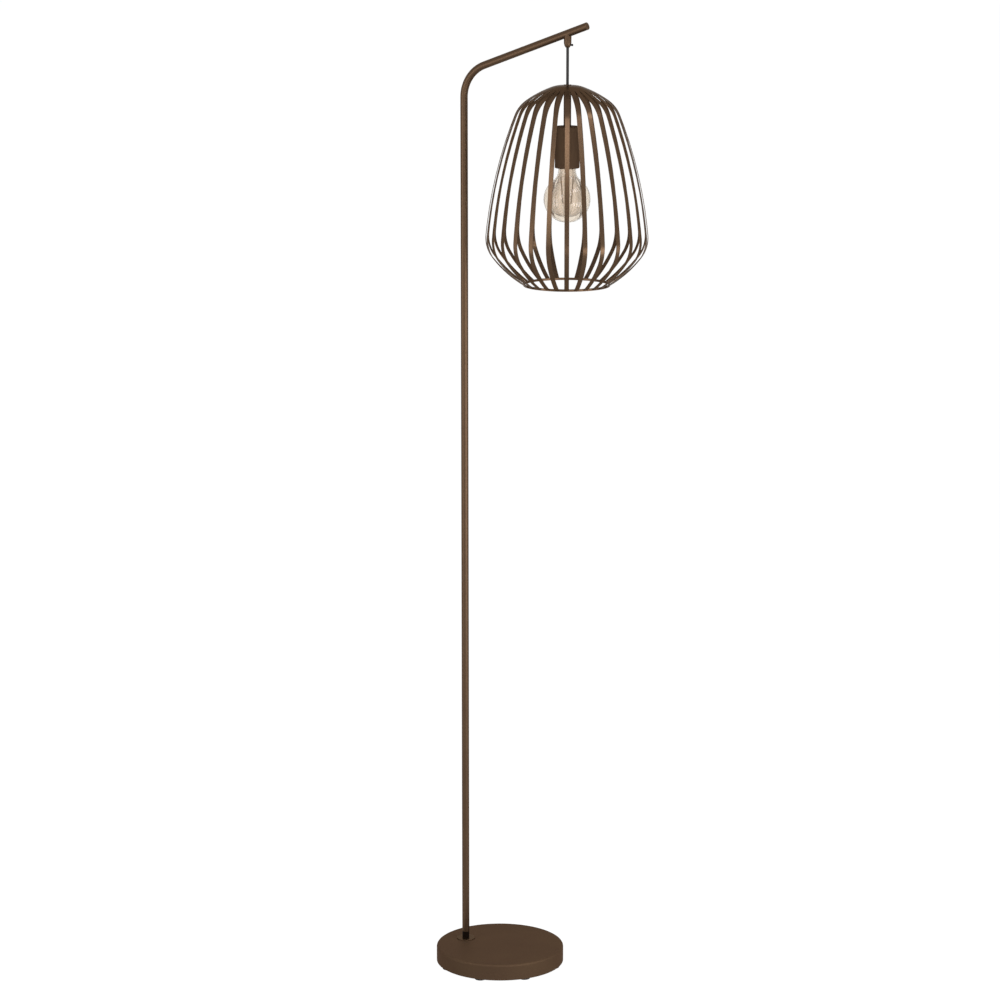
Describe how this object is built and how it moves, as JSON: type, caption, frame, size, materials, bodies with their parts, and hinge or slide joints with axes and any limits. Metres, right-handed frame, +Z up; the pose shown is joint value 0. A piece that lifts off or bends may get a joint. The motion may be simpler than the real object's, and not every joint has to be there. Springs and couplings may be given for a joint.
{
  "type": "floor lamp",
  "caption": "Floor lamp: weighted round base, slim pole bent over into an arm, and a cage shade of flat bent bars hanging on a short flex around a clear bulb.",
  "frame": {"origin": "on the floor, under the middle of the lamp's outline seen from above", "axes": "+Z up; +X from the pole along the arm to the shade; +Y to the left of the arm"},
  "size_m": [0.3856, 0.2806, 1.6988],
  "materials": {
    "brown_lacquer": "satin brown lacquer on steel",
    "black_lacquer": "black lacquer on steel",
    "black_rubber": "moulded, matt",
    "cast_iron": "raw casting",
    "zinc_steel": "zinc plated",
    "flex_pvc": "extruded black sheath",
    "black_plastic": "moulded, satin",
    "brass": "drawn sheet",
    "clear_glass": "blown, clear",
    "amber_glass": "blown, amber tint",
    "filament": "phosphor coated rod"
  },
  "bodies": {
    "stand": {"base_shell": "brown_lacquer", "base_weight": "cast_iron", "base_plate": "black_lacquer", "base_feet": "black_rubber", "cable_inlet": "black_rubber", "base_nipple": "zinc_steel", "base_nut": "zinc_steel", "pole_flange": "brown_lacquer", "pole_collar": "black_lacquer", "pole_lower": "brown_lacquer", "pole_coupler": "zinc_steel", "pole_arm": "brown_lacquer", "arm_end_cap": "brown_lacquer", "hanger": "brown_lacquer", "grip_screw": "black_lacquer", "supply_cable": "flex_pvc"},
    "flex_bend": {"cable_bend": "flex_pvc"},
    "flex": {"pendant_cable": "flex_pvc"},
    "shade": {"shade_hub": "brown_lacquer", "shade_rib_01": "brown_lacquer", "shade_rib_02": "brown_lacquer", "shade_rib_03": "brown_lacquer", "shade_rib_04": "brown_lacquer", "shade_rib_05": "brown_lacquer", "shade_rib_06": "brown_lacquer", "shade_rib_07": "brown_lacquer", "shade_rib_08": "brown_lacquer", "shade_rib_09": "brown_lacquer", "shade_rib_10": "brown_lacquer", "shade_rib_11": "brown_lacquer", "shade_rib_12": "brown_lacquer", "shade_rib_13": "brown_lacquer", "shade_rib_14": "brown_lacquer", "shade_rib_15": "brown_lacquer", "shade_rib_16": "brown_lacquer", "shade_rib_17": "brown_lacquer", "shade_rib_18": "brown_lacquer", "shade_rib_19": "brown_lacquer", "shade_rib_20": "brown_lacquer", "shade_rib_21": "brown_lacquer", "shade_rib_22": "brown_lacquer", "shade_rib_23": "brown_lacquer", "shade_rib_24": "brown_lacquer", "shade_rib_25": "brown_lacquer", "shade_rib_26": "brown_lacquer", "shade_rib_27": "brown_lacquer", "shade_rib_28": "brown_lacquer", "shade_ring": "brown_lacquer", "hub_nut": "brown_lacquer", "stem_rod": "zinc_steel", "stem": "brown_lacquer", "stem_cable": "flex_pvc", "holder_cover": "brown_lacquer", "lampholder_body": "black_plastic", "screw_shell": "brass", "centre_contact": "brass"},
    "bulb": {"bulb_globe": "clear_glass", "bulb_inner": "amber_glass", "bulb_cap": "brass", "filaments": "filament"}
  },
  "joints": [
    {"name": "shade_swing", "type": "hinge", "parent": "stand", "child": "flex_bend", "pos_m": [0.05247, 0, 1.65521], "axis": [0, -1, 0], "range_deg": [-9, 30]},
    {"name": "shade_sway", "type": "hinge", "parent": "flex_bend", "child": "flex", "pos_m": [0.05247, 0, 1.65521], "axis": [1, 0, 0], "range_deg": [-30, 30]},
    {"name": "shade_twist", "type": "hinge", "parent": "flex", "child": "shade", "pos_m": [0.05247, 0, 1.58807], "axis": [0, 0, 1], "range_deg": [-90, 90], "stiffness_Nm_per_rad": 0.02},
    {"name": "bulb_turn", "type": "hinge", "parent": "shade", "child": "bulb", "pos_m": [0.05247, 0, 1.45301], "axis": [0, 0, -1], "range_deg": [0, 1080]}
  ]
}
